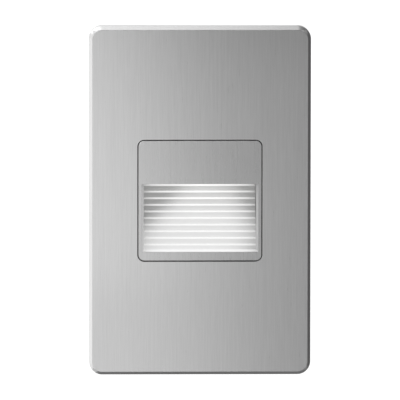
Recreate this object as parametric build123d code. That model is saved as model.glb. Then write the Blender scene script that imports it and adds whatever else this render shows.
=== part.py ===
from build123d import *
import os

# Wall light for a single-gang box. Millimetres, X to the right, Y into the wall, Z up.
# The origin is the centre of the face plate's outline, on the surface of the wall.

# Face plate
plate_width = 76.2
plate_height = 120.3
plate_depth = 6.0
plate_sheet = 1.6
plate_rim = 2.5
plate_corner = 4.5
bevel_width = 1.05
bevel_depth = 1.2
top_bevel_extra = 0.35
edge_break = 0.1

# Posts on the back of the face plate, and the spring clips that grip them
post_diameter = 4.0
post_inset = 7.0
post_end_gap = 0.4
post_chamfer = 0.5
clip_wall = 1.1
clip_base_rim = 1.2
clip_base_thickness = 0.5
clip_height = 2.2
clip_slit = 0.9
clip_gap = 0.06

# Gaskets
wall_gasket_thickness = 1.0
wall_gasket_inset = 0.3
bezel_seal_thickness = 1.0
bezel_seal_width = 1.6
bezel_seal_gap = 0.2
housing_seal_thickness = 1.0
seal_side_gap = 0.1

# Mounting plate, and the two screws that hold it on the box
mount_sheet = 1.2
mount_wall_gap = 0.5
mount_edge_gap = 1.5
mount_corner = 2.5
mount_window_gap = 0.4
box_screw_spacing = 83.34
box_screw_diameter = 3.5
box_screw_neck = 2.8
box_screw_length = 24.0
box_screw_head = 6.8
box_screw_head_height = 2.1
retainer_diameter = 8.0
retainer_thickness = 0.8
screw_gap = 0.15
thread_gap = 0.05

# Ground screw
ground_screw_diameter = 4.0
ground_screw_length = 3.0
ground_head = 7.2
ground_head_height = 2.2
ground_head_room = 0.4

# Bezel: the front block of the lamp body
bezel_width = 42.3
bezel_height = 41.35
bezel_corner = 2.0
bezel_drop = 0.0
bezel_gap = 0.35
bezel_wall = 1.8
bezel_side_wall = 1.65
bezel_top_wall = 2.8
bezel_floor_wall = 2.7
brow_height = 14.9
sill_height = 2.95
opening_frame = 1.1
opening_bevel = 0.75
groove_depth = 0.9
fit_gap = 0.1

# Stepped reflector
step_count = 10
tread_depth = 1.1
tread_rise = 0.45
top_reveal = 1.67
first_step_drop = 0.05
nose_radius = 0.15
reflector_wall = 1.6

# Lens, lamps and their board
lens_lift = 2.2
lens_thickness = 2.0
lens_seal_thickness = 1.0
lens_seal_width = 1.7
led_count = 5
led_spacing = 5.0
led_length = 3.5
led_width = 2.8
led_height = 0.7
led_bevel = 0.17
led_from_front = 3.2
led_board_thickness = 1.6
thermal_pad_thickness = 0.8
thermal_pad_margin = 1.2

# Divider behind the lamp body
divider_thickness = 1.2
divider_screw_spacing = 28.0
divider_screw_diameter = 1.6
divider_screw_head = 2.4
divider_screw_head_height = 1.0
divider_screw_length = 4.5

# Rear housing and its cover
housing_wall = 1.8
housing_gap = 0.3
housing_end_room = 5.0
housing_corner = 4.0
housing_flange = 2.5
boss_diameter = 6.0
boss_sink = 0.6
cover_thickness = 2.0
cover_edge = 0.8

# Screws through the ears of the housing and the lamp body
engine_screw_spacing = 30.0
engine_screw_diameter = 3.0
engine_screw_head = 5.6
engine_screw_head_height = 2.2
ear_head_room = 0.7
ear_rim = 1.2
blind_floor = 0.6

# Small screws in the housing's bosses, for the board and for the cover
boss_screw_diameter = 2.4
boss_screw_head = 4.4
boss_screw_head_height = 1.6
boss_screw_length = 6.0

# Shape of every screw, as shares of its head or shank
crown_share = 0.45
tip_share = 0.15
recess_depth_share = 0.55
recess_length_share = 0.6
recess_width_share = 0.16

# Entry for the supply leads
grommet_bore = 6.0
grommet_neck = 9.0
grommet_rim = 12.4
grommet_rim_thickness = 1.4
grommet_edge = 0.45

# Supply board and what it carries
board_thickness = 1.6
board_gap = 0.4
board_front_room = 4.4
component_room = 0.8
component_margin = 11.05
component_row = 13.0
component_gap = 0.75
component_edge = 0.3
bobbin_width = 11.0
bobbin_height = 12.0
bobbin_depth = 9.0
bobbin_flange = 1.3
winding_inset = 1.2
core_width = 5.0
core_thickness = 1.4
capacitor_diameter = 8.0
capacitor_length = 10.0
capacitor_edge = 0.5
film_width = 4.5
film_height = 9.0
film_depth = 7.0
varistor_diameter = 7.0
varistor_thickness = 3.2
varistor_edge = 0.8
varistor_lift = 1.0
varistor_foot_width = 3.5
varistor_foot_thickness = 1.6
fuse_diameter = 3.0
fuse_length = 8.0
fuse_edge = 0.5
rectifier_width = 4.7
rectifier_height = 4.0
rectifier_depth = 1.6
chip_width = 5.0
chip_height = 3.9
chip_depth = 1.5
terminal_width = 9.0
terminal_height = 7.0
terminal_depth = 8.0
terminal_hole = 2.4
terminal_hole_depth = 4.0
terminal_hole_spacing = 4.5
pin_size = 0.64
pin_spacing = 2.54
pin_overlap = 3.0
pin_tail = 1.2
pin_room = 0.64
header_size = 2.5
header_bevel = 0.3

# Depths from the front of the plate to the back of the cover
y_wall = 0.0
y_rim = y_wall - wall_gasket_thickness
y_front = y_rim - plate_depth
y_bevel = y_front + bevel_depth
y_sheet_back = y_front + plate_sheet
y_mount_back = y_wall - mount_wall_gap
y_mount_front = y_mount_back - mount_sheet
y_flange_front = y_sheet_back + bezel_seal_gap + bezel_seal_thickness
y_pocket = y_front + bezel_wall
y_reflector = y_pocket + fit_gap
y_reflector_back = y_reflector + step_count * tread_depth + reflector_wall
y_lamp_back = y_reflector_back + fit_gap
y_divider_back = y_lamp_back + divider_thickness
y_board_front = y_divider_back + board_front_room
y_board_back = y_board_front + board_thickness
tallest_component = max(bobbin_depth + core_thickness, capacitor_length, film_depth, terminal_depth,
                        varistor_diameter + varistor_lift, 2 * boss_screw_length)
y_cover = y_board_back + tallest_component + component_room
y_cover_back = y_cover + cover_thickness
y_housing_front = y_mount_back + housing_seal_thickness
y_housing_flange_back = y_housing_front + housing_flange

# Heights in the lamp body
bezel_z = -bezel_drop
z_bezel_top = bezel_z + bezel_height / 2
z_bezel_bottom = bezel_z - bezel_height / 2
z_brow = z_bezel_top - brow_height
z_sill = z_bezel_bottom + sill_height
z_floor = z_bezel_bottom + bezel_floor_wall
z_ceiling = z_bezel_top - bezel_top_wall
z_lens = z_brow + lens_lift
z_lens_top = z_lens + lens_thickness
z_lens_seal_top = z_lens_top + lens_seal_thickness
z_led_board_top = z_ceiling - thermal_pad_thickness
z_led_board = z_led_board_top - led_board_thickness
z_step_base = z_sill - first_step_drop
step_pitch = (z_brow - z_step_base - top_reveal) / step_count

# Widths in the lamp body
opening_width = bezel_width - 2 * opening_frame
pocket_width = bezel_width - 2 * bezel_side_wall
groove_width = pocket_width + 2 * groove_depth
reflector_width = pocket_width - 2 * fit_gap

# Outlines of the housing, and the places of its screws
housing_inner_width = bezel_width + 2 * housing_gap
housing_inner_height = bezel_height + 2 * housing_end_room
housing_width = housing_inner_width + 2 * housing_wall
housing_height = housing_inner_height + 2 * housing_wall
ear_reach = engine_screw_head / 2 + ear_head_room
ear_radius = engine_screw_head / 2 + ear_rim
engine_screw_z = housing_height / 2 + ear_reach
boss_x = housing_inner_width / 2 - boss_diameter / 2 + boss_sink
boss_z = housing_inner_height / 2 - boss_diameter / 2 + boss_sink
board_width = housing_inner_width - 2 * board_gap
board_height = housing_inner_height - 2 * board_gap
board_corner = housing_corner - housing_wall
component_column = board_width / 2 - component_margin

# Outlines of the mounting plate and the places on it
mount_width = plate_width - 2 * (plate_rim + mount_edge_gap)
mount_height = plate_height - 2 * (plate_rim + mount_edge_gap)
post_x = plate_width / 2 - plate_rim - post_inset
post_z = plate_height / 2 - plate_rim - post_inset
post_places = [(x, z) for x in (-post_x, post_x) for z in (-post_z, post_z)]
box_screw_places = [(0, box_screw_spacing / 2), (0, -box_screw_spacing / 2)]
ground_x = engine_screw_spacing / 2 - ear_radius - ground_head / 2 - ground_head_room
ground_z = bezel_z - housing_height / 2 - ground_head / 2 - ground_head_room
engine_screw_places = [(x, bezel_z + z) for x in (-engine_screw_spacing / 2, engine_screw_spacing / 2)
                       for z in (-engine_screw_z, engine_screw_z)]
boss_places = [(x, bezel_z + z) for x in (-boss_x, boss_x) for z in (-boss_z, boss_z)]
divider_screw_places = [(x, z) for x in (-divider_screw_spacing / 2, divider_screw_spacing / 2)
                        for z in (z_bezel_top - bezel_top_wall / 2, z_bezel_bottom + bezel_floor_wall / 2)]


def facing_front(y):
    """Plane at depth y that faces the room, with sketches drawn in X and Z."""
    return Plane(origin=(0, y, 0), x_dir=(1, 0, 0), z_dir=(0, -1, 0))


def slab(outline, y_near, y_far):
    """Solid of an outline drawn in X and Z, from one depth to another."""
    return extrude(facing_front(y_far) * outline, amount=y_far - y_near)


def rounded(width, height, radius, x=0, z=0):
    return Pos(x, z) * RectangleRounded(width, height, radius)


def block(width, height, y_near, y_far, x=0, z=0):
    """Box given by its width and height about (x, z) and its two depths."""
    return slab(Pos(x, z) * Rectangle(width, height), y_near, y_far)


def span_box(width, y_near, y_far, z_low, z_high):
    """Box centred on X = 0, between two depths and two heights."""
    return block(width, z_high - z_low, y_near, y_far, 0, (z_low + z_high) / 2)


def rod(diameter, y_near, y_far, x=0, z=0):
    """Round bar along Y."""
    return slab(Pos(x, z) * Circle(diameter / 2), y_near, y_far)


def rods(diameter, y_near, y_far, places):
    """One round bar at each place, for drilling a pattern of holes."""
    return [rod(diameter, y_near, y_far, x, z) for x, z in places]


def group(solids):
    """Several separate solids as one node."""
    return Compound(children=[solid for part in solids for solid in part.solids()])


def pan_screw(x, z, y_seat, way, head, head_height, shank, length, neck=0.0, neck_length=0.0):
    """Cross-recess pan head screw: its head sits at y_seat and its shank runs along way, +1 or -1 on Y."""
    y_top = y_seat - way * head_height
    screw = rod(head, min(y_seat, y_top), max(y_seat, y_top), x, z)
    crown = screw.edges().filter_by(GeomType.CIRCLE).sort_by(Axis.Y)
    screw = fillet(crown[0] if way > 0 else crown[-1], head_height * crown_share)
    y_neck_end = y_seat + way * neck_length
    y_end = y_seat + way * length
    if neck_length:
        screw += rod(neck, min(y_seat, y_neck_end), max(y_seat, y_neck_end), x, z)
    screw += rod(shank, min(y_neck_end, y_end), max(y_neck_end, y_end), x, z)
    tip = screw.edges().filter_by(GeomType.CIRCLE).sort_by(Axis.Y)
    screw = chamfer(tip[-1] if way > 0 else tip[0], shank * tip_share)
    slot_floor = y_top + way * head_height * recess_depth_share
    slot_length = head * recess_length_share
    slot_width = head * recess_width_share
    for width, height in ((slot_length, slot_width), (slot_width, slot_length)):
        screw -= block(width, height, min(y_top, slot_floor), max(y_top, slot_floor), x, z)
    return screw


def face_plate():
    """Hollow cover with front edges bevelled most along the top, a window for the bezel and four posts."""
    outline = rounded(plate_width, plate_height, plate_corner)
    plate = slab(outline, y_bevel, y_rim)
    front_height = plate_height - 2 * bevel_width - top_bevel_extra
    front = rounded(plate_width - 2 * bevel_width, front_height, plate_corner - bevel_width, z=-top_bevel_extra / 2)
    plate += loft([(facing_front(y_bevel) * outline).face(), (facing_front(y_front) * front).face()], ruled=True)
    inner_width = plate_width - 2 * plate_rim
    inner_height = plate_height - 2 * plate_rim
    plate -= slab(rounded(inner_width, inner_height, plate_corner - plate_rim), y_sheet_back, y_rim)
    window = rounded(bezel_width + 2 * bezel_gap, bezel_height + 2 * bezel_gap,
                     bezel_corner + bezel_gap, z=bezel_z)
    plate -= slab(window, y_front, y_sheet_back)
    plate -= extrude(facing_front(y_front + edge_break) * window, amount=edge_break, taper=-45)
    for x, z in post_places:
        post = rod(post_diameter, y_sheet_back, y_mount_front - post_end_gap, x, z)
        post_end = post.edges().filter_by(GeomType.CIRCLE).sort_by(Axis.Y)[-1]
        plate += chamfer(post_end, post_chamfer)
    return plate


def wall_gasket():
    inset = 2 * wall_gasket_inset
    outer = rounded(plate_width - inset, plate_height - inset, plate_corner - wall_gasket_inset)
    inner_width = plate_width - 2 * plate_rim + inset
    inner_height = plate_height - 2 * plate_rim + inset
    inner = rounded(inner_width, inner_height, plate_corner - plate_rim + wall_gasket_inset)
    return slab(outer - inner, y_rim, y_wall)


def plate_clips():
    """Slit spring collets, each round one post of the face plate."""
    clips = []
    bore = post_diameter + 2 * clip_gap
    y_top = y_mount_front - clip_height
    for x, z in post_places:
        collet = bore + 2 * clip_wall
        clip = rod(collet, y_top, y_mount_front, x, z)
        clip += rod(collet + 2 * clip_base_rim, y_mount_front - clip_base_thickness, y_mount_front, x, z)
        clip -= rod(bore, y_top, y_mount_front, x, z)
        y_slit = y_mount_front - clip_base_thickness
        clip -= block(collet, clip_slit, y_top, y_slit, x, z)
        clip -= block(clip_slit, collet, y_top, y_slit, x, z)
        clips.append(clip)
    return group(clips)


def mounting_plate():
    """Steel plate with a window for the lamp body and holes for every screw."""
    plate = slab(rounded(mount_width, mount_height, mount_corner), y_mount_front, y_mount_back)
    window = rounded(bezel_width + 2 * mount_window_gap, bezel_height + 2 * mount_window_gap,
                     bezel_corner + mount_window_gap, z=bezel_z)
    plate -= slab(window, y_mount_front, y_mount_back)
    plate -= rods(box_screw_neck + 2 * screw_gap, y_mount_front, y_mount_back, box_screw_places)
    plate -= rods(engine_screw_diameter + 2 * screw_gap, y_mount_front, y_mount_back, engine_screw_places)
    plate -= rod(ground_screw_diameter + 2 * thread_gap, y_mount_front, y_mount_back, ground_x, ground_z)
    return plate


def mounting_screws():
    """Captive box screws: a thin neck runs through the plate and the retainer, the thread starts behind."""
    neck_length = mount_sheet + retainer_thickness + 2 * screw_gap
    return group(pan_screw(x, z, y_mount_front, 1, box_screw_head, box_screw_head_height,
                           box_screw_diameter, mount_sheet + box_screw_length, box_screw_neck, neck_length)
                 for x, z in box_screw_places)


def screw_retainers():
    hole = box_screw_neck + 2 * thread_gap
    return group(slab(Pos(x, z) * (Circle(retainer_diameter / 2) - Circle(hole / 2)),
                      y_mount_back, y_mount_back + retainer_thickness)
                 for x, z in box_screw_places)


def ground_screw():
    return pan_screw(ground_x, ground_z, y_mount_back, -1, ground_head, ground_head_height,
                     ground_screw_diameter, ground_screw_length)


def flange_outline():
    """Rectangle with four ears for the engine screws, shared by the lamp body, the seal and the housing."""
    outline = rounded(housing_width, housing_height, housing_corner, z=bezel_z)
    for x, z in engine_screw_places:
        inward = -ear_reach if z > bezel_z else ear_reach
        outline += Pos(x, z) * Circle(ear_radius)
        outline += Pos(x, z + inward / 2) * Rectangle(2 * ear_radius, ear_reach)
    return outline


def lamp_body():
    """Lamp body: square front block, flange with ears, and a pocket that is open at the back."""
    outline = rounded(bezel_width, bezel_height, bezel_corner, z=bezel_z)
    lamp = slab(outline, y_front + edge_break, y_lamp_back)
    lamp += extrude(facing_front(y_front + edge_break) * outline, amount=edge_break, taper=45)
    lamp += slab(flange_outline(), y_flange_front, y_mount_front)
    mouth_width = opening_width - 2 * opening_bevel
    z_mouth = z_sill + opening_bevel
    front_edge = Pos(0, (z_sill + z_brow) / 2) * Rectangle(opening_width, z_brow - z_sill)
    back_edge = Pos(0, (z_mouth + z_brow) / 2) * Rectangle(mouth_width, z_brow - z_mouth)
    lamp -= loft([facing_front(y_front) * front_edge, facing_front(y_pocket) * back_edge], ruled=True)
    lamp -= span_box(pocket_width, y_pocket, y_lamp_back, z_floor, z_ceiling)
    lamp -= span_box(groove_width, y_pocket - groove_depth, y_lamp_back, z_lens, z_lens_seal_top)
    lamp -= span_box(groove_width, y_pocket, y_lamp_back, z_led_board, z_led_board_top)
    y_hole_floor = y_flange_front + blind_floor
    lamp -= rods(engine_screw_diameter + 2 * thread_gap, y_hole_floor, y_mount_front, engine_screw_places)
    y_hole_floor = y_divider_back - divider_screw_length - screw_gap
    lamp -= rods(divider_screw_diameter + 2 * thread_gap, y_hole_floor, y_lamp_back, divider_screw_places)
    return lamp


def bezel_seal():
    inner_width = bezel_width + 2 * seal_side_gap
    inner_height = bezel_height + 2 * seal_side_gap
    inner_corner = bezel_corner + seal_side_gap
    inner = rounded(inner_width, inner_height, inner_corner, z=bezel_z)
    outer = rounded(inner_width + 2 * bezel_seal_width, inner_height + 2 * bezel_seal_width,
                    inner_corner + bezel_seal_width, z=bezel_z)
    return slab(outer - inner, y_flange_front - bezel_seal_thickness, y_flange_front)


def step_reflector():
    """Ten sloping treads and upright risers, climbing away from the sill, on a hollow wedge with cheeks."""
    z_bottom = z_floor + fit_gap
    z_top = z_lens - fit_gap
    points = [(y_reflector_back, z_bottom), (y_reflector, z_bottom)]
    noses = []
    for step in range(1, step_count + 1):
        y_nose = y_reflector + (step - 1) * tread_depth
        z_nose = z_step_base + step * step_pitch
        noses.append((y_nose, z_nose))
        points += [(y_nose, z_nose), (y_nose + tread_depth, z_nose + tread_rise)]
    points += [(y_reflector + step_count * tread_depth, z_top), (y_reflector_back, z_top)]
    profile = make_face(Polyline(*points, close=True))
    corners = [profile.vertices().sort_by_distance((y, z))[0] for y, z in noses]
    profile = fillet(corners, nose_radius)
    wedge = extrude(Plane.YZ * profile, amount=reflector_width / 2, both=True)
    z_hollow = z_bottom + reflector_wall
    slope = step_pitch / tread_depth
    z_inner_corner = z_step_base + step_count * step_pitch + tread_rise
    y_hollow = y_reflector_back - (z_inner_corner - z_hollow) / slope
    hollow = make_face(Polyline((y_hollow, z_hollow), (y_reflector_back, z_inner_corner),
                                (y_reflector_back, z_hollow), close=True))
    return wedge - extrude(Plane.YZ * hollow, amount=reflector_width / 2 - reflector_wall, both=True)


def lens():
    y_near = y_pocket - groove_depth + fit_gap
    width = groove_width - 2 * fit_gap
    return span_box(width, y_near, y_lamp_back, z_lens, z_lens_top)


def lens_seal():
    """Frame on top of the lens, pressed into the same groove."""
    y_near = y_pocket - groove_depth + fit_gap
    width = groove_width - 2 * fit_gap
    seal = span_box(width, y_near, y_lamp_back, z_lens_top, z_lens_seal_top)
    inner_width = width - 2 * lens_seal_width
    return seal - span_box(inner_width, y_near + lens_seal_width, y_lamp_back - lens_seal_width,
                           z_lens_top, z_lens_seal_top)


def led_board():
    width = groove_width - 2 * fit_gap
    return span_box(width, y_pocket + fit_gap, y_lamp_back, z_led_board, z_led_board_top)


def led_chips():
    """Row of lamps under the board, each with a bevelled face."""
    chips = []
    for number in range(led_count):
        x = (number - (led_count - 1) / 2) * led_spacing
        centre = (x, y_pocket + led_from_front, z_led_board - led_height / 2)
        chip = Pos(*centre) * Box(led_length, led_width, led_height)
        chips.append(chamfer(chip.faces().sort_by(Axis.Z)[0].edges(), led_bevel))
    return group(chips)


def thermal_pad():
    width = pocket_width - 2 * thermal_pad_margin
    return span_box(width, y_pocket + thermal_pad_margin, y_lamp_back - thermal_pad_margin,
                    z_led_board_top, z_ceiling)


def pin_places():
    z = z_led_board - pin_size / 2
    return [(-pin_spacing / 2, z), (pin_spacing / 2, z)]


def divider():
    """Insulating plate behind the lamp body, with a slot for the pins."""
    plate = slab(rounded(bezel_width, bezel_height, bezel_corner, z=bezel_z), y_lamp_back, y_divider_back)
    slot_width = pin_spacing + pin_size + 2 * pin_room
    slot_height = pin_size + 2 * pin_room
    plate -= block(slot_width, slot_height, y_lamp_back, y_divider_back, 0, z_led_board - pin_size / 2)
    return plate - rods(divider_screw_diameter + 2 * screw_gap, y_lamp_back, y_divider_back,
                        divider_screw_places)


def divider_screws():
    return group(pan_screw(x, z, y_divider_back, -1, divider_screw_head, divider_screw_head_height,
                           divider_screw_diameter, divider_screw_length)
                 for x, z in divider_screw_places)


def housing_seal():
    hole = engine_screw_diameter + 2 * screw_gap
    inner = rounded(housing_inner_width, housing_inner_height, housing_corner - housing_wall, z=bezel_z)
    seal = slab(flange_outline() - inner, y_mount_back, y_housing_front)
    return seal - rods(hole, y_mount_back, y_housing_front, engine_screw_places)


def rear_housing():
    """Rectangular tube with a flange and ears at the front and four bosses for screws inside."""
    outer = rounded(housing_width, housing_height, housing_corner, z=bezel_z)
    inner = rounded(housing_inner_width, housing_inner_height, housing_corner - housing_wall, z=bezel_z)
    housing = slab(outer, y_housing_front, y_cover)
    housing += slab(flange_outline(), y_housing_front, y_housing_flange_back)
    housing -= slab(inner, y_housing_front, y_cover)
    hole = boss_screw_diameter + 2 * thread_gap
    hole_depth = boss_screw_length + screw_gap
    for x, z in boss_places:
        housing += rod(boss_diameter, y_board_back, y_cover, x, z) & slab(outer, y_board_back, y_cover)
        housing -= rod(hole, y_board_back, y_board_front + hole_depth, x, z)
        housing -= rod(hole, y_cover_back - hole_depth, y_cover, x, z)
    hole = engine_screw_diameter + 2 * screw_gap
    return housing - rods(hole, y_housing_front, y_housing_flange_back, engine_screw_places)


def engine_screws():
    """Screws from the back of the ears into the lamp body's flange."""
    length = y_housing_flange_back - y_flange_front - blind_floor - screw_gap
    return group(pan_screw(x, z, y_housing_flange_back, -1, engine_screw_head, engine_screw_head_height,
                           engine_screw_diameter, length)
                 for x, z in engine_screw_places)


def rear_cover():
    """Flat cover with rounded rear edges, four screw holes and the hole for the grommet."""
    cover = slab(rounded(housing_width, housing_height, housing_corner, z=bezel_z), y_cover, y_cover_back)
    cover = fillet(cover.faces().sort_by(Axis.Y)[-1].edges(), cover_edge)
    cover -= rods(boss_screw_diameter + 2 * screw_gap, y_cover, y_cover_back, boss_places)
    return cover - rod(grommet_neck + 2 * fit_gap, y_cover, y_cover_back, 0, bezel_z)


def cover_screws():
    return group(pan_screw(x, z, y_cover_back, -1, boss_screw_head, boss_screw_head_height,
                           boss_screw_diameter, boss_screw_length)
                 for x, z in boss_places)


def wire_grommet():
    """Spool of rubber in the cover's hole, with the bore for the supply leads."""
    spool = rod(grommet_neck, y_cover, y_cover_back, 0, bezel_z)
    for y_near in (y_cover - grommet_rim_thickness, y_cover_back):
        rim = rod(grommet_rim, y_near, y_near + grommet_rim_thickness, 0, bezel_z)
        spool += fillet(rim.edges().filter_by(GeomType.CIRCLE), grommet_edge)
    y_near = y_cover - grommet_rim_thickness
    return spool - rod(grommet_bore, y_near, y_cover_back + grommet_rim_thickness, 0, bezel_z)


def driver_board():
    board = slab(rounded(board_width, board_height, board_corner, z=bezel_z), y_board_front, y_board_back)
    board -= rods(boss_screw_diameter + 2 * screw_gap, y_board_front, y_board_back, boss_places)
    for x, z in pin_places():
        board -= block(pin_size + 2 * fit_gap, pin_size + 2 * fit_gap, y_board_front, y_board_back, x, z)
    return board


def board_screws():
    return group(pan_screw(x, z, y_board_front, 1, boss_screw_head, boss_screw_head_height,
                           boss_screw_diameter, boss_screw_length)
                 for x, z in boss_places)


def led_pins():
    """Two pins from the supply board, through the divider, to pads under the lamp board."""
    return group(block(pin_size, pin_size, y_lamp_back - pin_overlap, y_board_back + pin_tail, x, z)
                 for x, z in pin_places())


def led_header():
    width = pin_spacing + header_size
    z_pins = z_led_board - pin_size / 2
    header = block(width, header_size, y_board_front - header_size, y_board_front, 0, z_pins)
    header = chamfer(header.edges().filter_by(Axis.Y), header_bevel)
    for x, z in pin_places():
        header -= block(pin_size, pin_size, y_board_front - header_size, y_board_front, x, z)
    return header


def component(width, height, depth, x, z):
    """Moulded block on the back of the supply board, with its outer edges rounded."""
    solid = block(width, height, y_board_back, y_board_back + depth, x, z)
    return fillet(solid.faces().sort_by(Axis.Y)[-1].edges(), component_edge)


def transformer_place():
    """Centre of the transformer in X and Z, clear of the pins that come through the board."""
    x_edge = (pin_spacing + pin_size) / 2 + component_gap
    return -x_edge - core_thickness - fit_gap - bobbin_width / 2, bezel_z + component_row


def transformer_bobbin():
    """Winding between the two flanges of its bobbin."""
    x, z = transformer_place()
    y_top = y_board_back + bobbin_depth
    winding = block(bobbin_width - 2 * winding_inset, bobbin_height, y_board_back, y_top, x, z)
    bobbin = fillet(winding.edges().filter_by(Axis.Z), winding_inset)
    for end in (-1, 1):
        z_flange = z + end * (bobbin_height - bobbin_flange) / 2
        bobbin += block(bobbin_width, bobbin_flange, y_board_back, y_top, x, z_flange)
    return bobbin


def transformer_core():
    """Ferrite band round the sides and the back of the bobbin."""
    x, z = transformer_place()
    y_top = y_board_back + bobbin_depth
    inside = bobbin_width + 2 * fit_gap
    core = block(inside + 2 * core_thickness, core_width, y_board_back, y_top + core_thickness, x, z)
    return core - block(inside, core_width, y_board_back, y_top, x, z)


def bulk_capacitor():
    can = rod(capacitor_diameter, y_board_back, y_board_back + capacitor_length,
              component_column, bezel_z + component_row)
    return fillet(can.edges().filter_by(GeomType.CIRCLE).sort_by(Axis.Y)[-1], capacitor_edge)


def film_capacitor():
    return component(film_width, film_height, film_depth, -component_column - film_width / 2, bezel_z)


def varistor():
    """Disc that stands on its edge, on a foot for its leads."""
    x = component_column + varistor_thickness / 2
    y_centre = y_board_back + varistor_lift + varistor_diameter / 2
    disc = Pos(x, y_centre, bezel_z) * Rot(0, 90, 0) * Cylinder(varistor_diameter / 2, varistor_thickness)
    disc = fillet(disc.edges().filter_by(GeomType.CIRCLE), varistor_edge)
    return disc + block(varistor_foot_thickness, varistor_foot_width, y_board_back, y_centre, x, bezel_z)


def fuse():
    """Axial body lying on the board, below the two chips."""
    z = bezel_z - component_row - component_gap - fuse_diameter / 2
    centre = Pos(component_column, y_board_back + fuse_diameter / 2, z)
    body = centre * Rot(0, 90, 0) * Cylinder(fuse_diameter / 2, fuse_length)
    return fillet(body.edges().filter_by(GeomType.CIRCLE), fuse_edge)


def rectifier():
    x = component_column - component_gap - rectifier_width / 2
    z = bezel_z - component_row + component_gap + rectifier_height / 2
    return component(rectifier_width, rectifier_height, rectifier_depth, x, z)


def driver_chip():
    x = component_column + component_gap + chip_width / 2
    z = bezel_z - component_row + component_gap + chip_height / 2
    return component(chip_width, chip_height, chip_depth, x, z)


def wire_terminal():
    """Push-in terminal for the supply leads, with two wire holes that face the back."""
    z = bezel_z - component_row
    terminal = component(terminal_width, terminal_height, terminal_depth, -component_column, z)
    y_top = y_board_back + terminal_depth
    for side in (-1, 1):
        x = -component_column + side * terminal_hole_spacing / 2
        terminal -= rod(terminal_hole, y_top - terminal_hole_depth, y_top, x, z)
    return terminal


nodes = [face_plate, wall_gasket, plate_clips, mounting_plate, mounting_screws, screw_retainers, ground_screw,
         lamp_body, bezel_seal, step_reflector, lens, lens_seal, led_board, led_chips, thermal_pad,
         divider, divider_screws, housing_seal, rear_housing, engine_screws, rear_cover, cover_screws,
         wire_grommet, driver_board, board_screws, led_pins, led_header, transformer_bobbin,
         transformer_core, bulk_capacitor, film_capacitor, varistor, fuse, rectifier, driver_chip,
         wire_terminal]

os.makedirs("parts", exist_ok=True)
for node in nodes:
    export_step(node(), f"parts/{node.__name__}.step")
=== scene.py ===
# %% [markdown]
# # A lit wall light in brushed metal
# The measured model of the light is loaded first, as a fixed frame. Every piece made below is placed
# by its numbers, so nothing has to be fitted by eye. Sizes are written in millimetres and go into
# Blender in metres.

# %% Load the measured model
from math import cos, radians, sin

import bpy
import numpy as np
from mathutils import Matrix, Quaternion, Vector


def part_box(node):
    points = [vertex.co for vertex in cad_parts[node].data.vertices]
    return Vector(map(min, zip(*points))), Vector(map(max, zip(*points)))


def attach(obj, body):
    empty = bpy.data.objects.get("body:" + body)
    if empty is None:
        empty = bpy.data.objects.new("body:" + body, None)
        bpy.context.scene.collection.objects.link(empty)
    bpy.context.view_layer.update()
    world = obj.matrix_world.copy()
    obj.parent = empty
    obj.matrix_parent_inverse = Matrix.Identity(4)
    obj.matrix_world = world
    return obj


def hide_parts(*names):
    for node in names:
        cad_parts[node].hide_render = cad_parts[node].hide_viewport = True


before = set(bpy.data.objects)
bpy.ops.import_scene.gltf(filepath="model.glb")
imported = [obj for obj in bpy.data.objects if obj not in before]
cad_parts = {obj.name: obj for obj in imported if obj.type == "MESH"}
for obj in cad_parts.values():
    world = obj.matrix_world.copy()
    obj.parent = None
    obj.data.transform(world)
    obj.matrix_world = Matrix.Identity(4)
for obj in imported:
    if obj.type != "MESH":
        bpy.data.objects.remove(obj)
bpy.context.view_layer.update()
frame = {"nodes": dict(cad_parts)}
nodes = frame["nodes"]
scene = bpy.context.scene
mm = 0.001

# %% [markdown]
# ## Surfaces as stacks of rings
# Pressed, cast and turned pieces have one thing in common: cut them at any depth and the cut is a
# closed ring. So a piece is written as a grid, with one row of points for each ring, and neighbouring
# rings are joined by four-sided faces. Real edges are never knife sharp. A Bevel modifier could round
# them afterwards, but here the corners of the profile that sets the rings are softened, so every edge
# gets the size that it should have.


# %% Profiles with soft corners
def softened(corners, reach, samples=5):
    """Polyline whose inner corners are curves: each point is (1-s)^2 a + 2s(1-s) c + s^2 b.

    c is the corner, and a and b lie at its reach along the two lines that meet there.
    """
    p = np.array(corners, float)
    before, after = p[:-2] - p[1:-1], p[2:] - p[1:-1]
    reach = np.array(reach, float)[:, None]
    a = p[1:-1] + before / np.linalg.norm(before, axis=1, keepdims=True) * reach
    b = p[1:-1] + after / np.linalg.norm(after, axis=1, keepdims=True) * reach
    s = np.linspace(0, 1, samples)[None, :, None]
    curves = (1 - s) ** 2 * a[:, None] + 2 * s * (1 - s) * p[1:-1, None] + s ** 2 * b[:, None]
    return np.vstack([p[:1], curves.reshape(-1, 2), p[-1:]])


print("a softened square corner has", len(softened([(0, 1), (0, 0), (1, 0)], [0.2])), "points")


# %% Rings of a rounded outline
def outline_rings(size, profile, arc=12, least_radius=0.04):
    """Rings of a rounded rectangle: profile gives each ring's inset from the outline and its depth.

    A corner point is the corner's centre plus its radius times (cos t, sin t), and the radius
    shrinks with the inset.
    """
    width, height, radius = size
    inset, depth = profile[:, 0, None, None], profile[:, 1]
    r = np.maximum(radius - inset, least_radius)
    quarter = np.arange(4)[:, None] * np.pi / 2
    turn = (quarter + np.linspace(0, np.pi / 2, arc)[None, :])[None]
    side_x = np.sign(np.cos(quarter + np.pi / 4))[None]
    side_z = np.sign(np.sin(quarter + np.pi / 4))[None]
    x = side_x * (width / 2 - inset - r) + r * np.cos(turn)
    z = side_z * (height / 2 - inset - r) + r * np.sin(turn)
    y = np.broadcast_to(depth[:, None, None], x.shape)
    return np.stack([x, y, z], -1).reshape(len(profile), 4 * arc, 3)


tile = outline_rings((60.0, 90.0, 5.0), np.array([(0.0, 0.0), (1.0, 2.0)]))
print("a tile for practice, as rings, points and coordinates:", tile.shape)

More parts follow.
